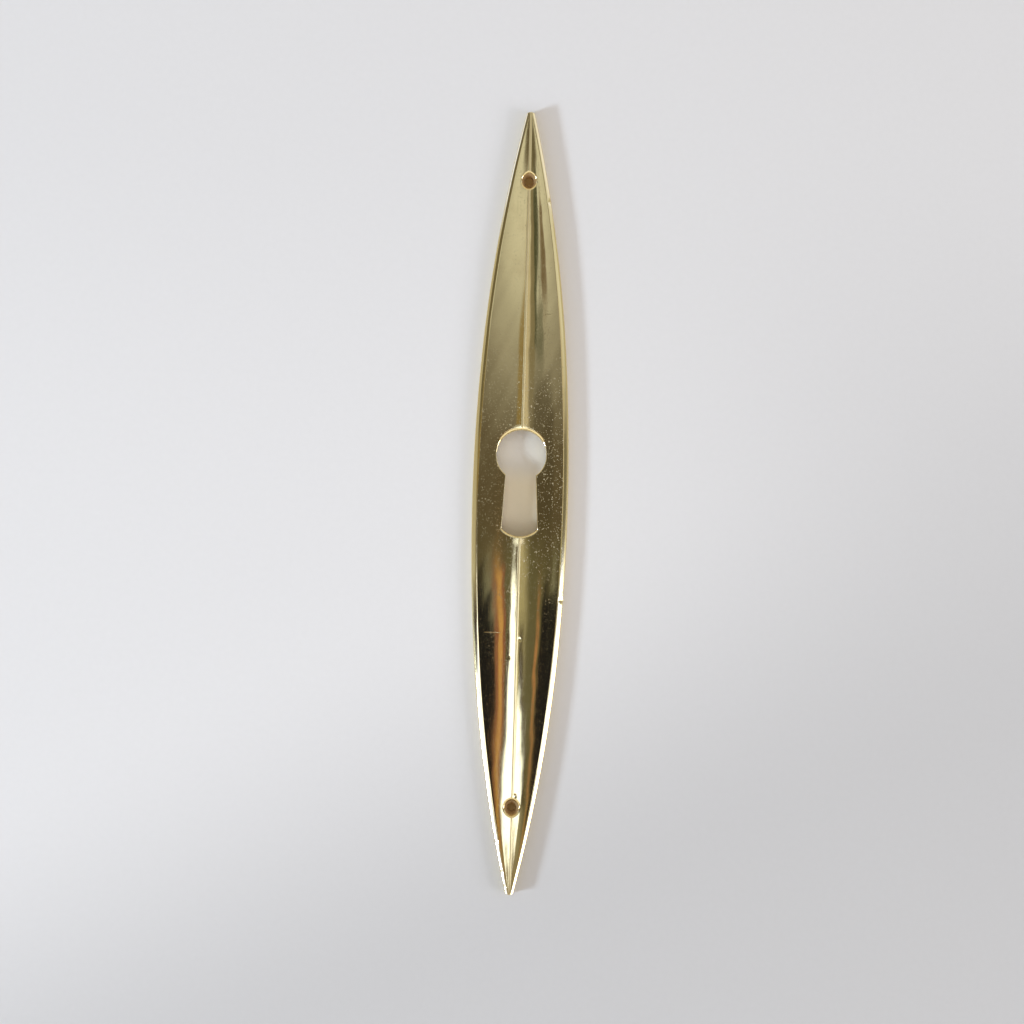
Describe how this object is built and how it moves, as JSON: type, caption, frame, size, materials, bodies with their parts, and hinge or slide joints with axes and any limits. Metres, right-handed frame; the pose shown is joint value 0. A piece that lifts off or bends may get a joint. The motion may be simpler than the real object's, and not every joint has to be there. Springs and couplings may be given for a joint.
{
  "type": "keyhole escutcheon",
  "caption": "Long spindle-shaped brass plate with a creased front, a central keyhole and a sunk pin hole towards each tip, hollow behind between its solid ends.",
  "frame": {"origin": "middle of the outline, on the face that the rim rests on", "axes": "+Z out of the front, +Y along the plate towards the round end of the keyhole, +X across the plate"},
  "size_m": [0.0184, 0.15, 0.0038],
  "materials": {
    "brass": "polished, with fine wear"
  },
  "bodies": {
    "root": {"escutcheon_plate": "brass"}
  },
  "joints": []
}
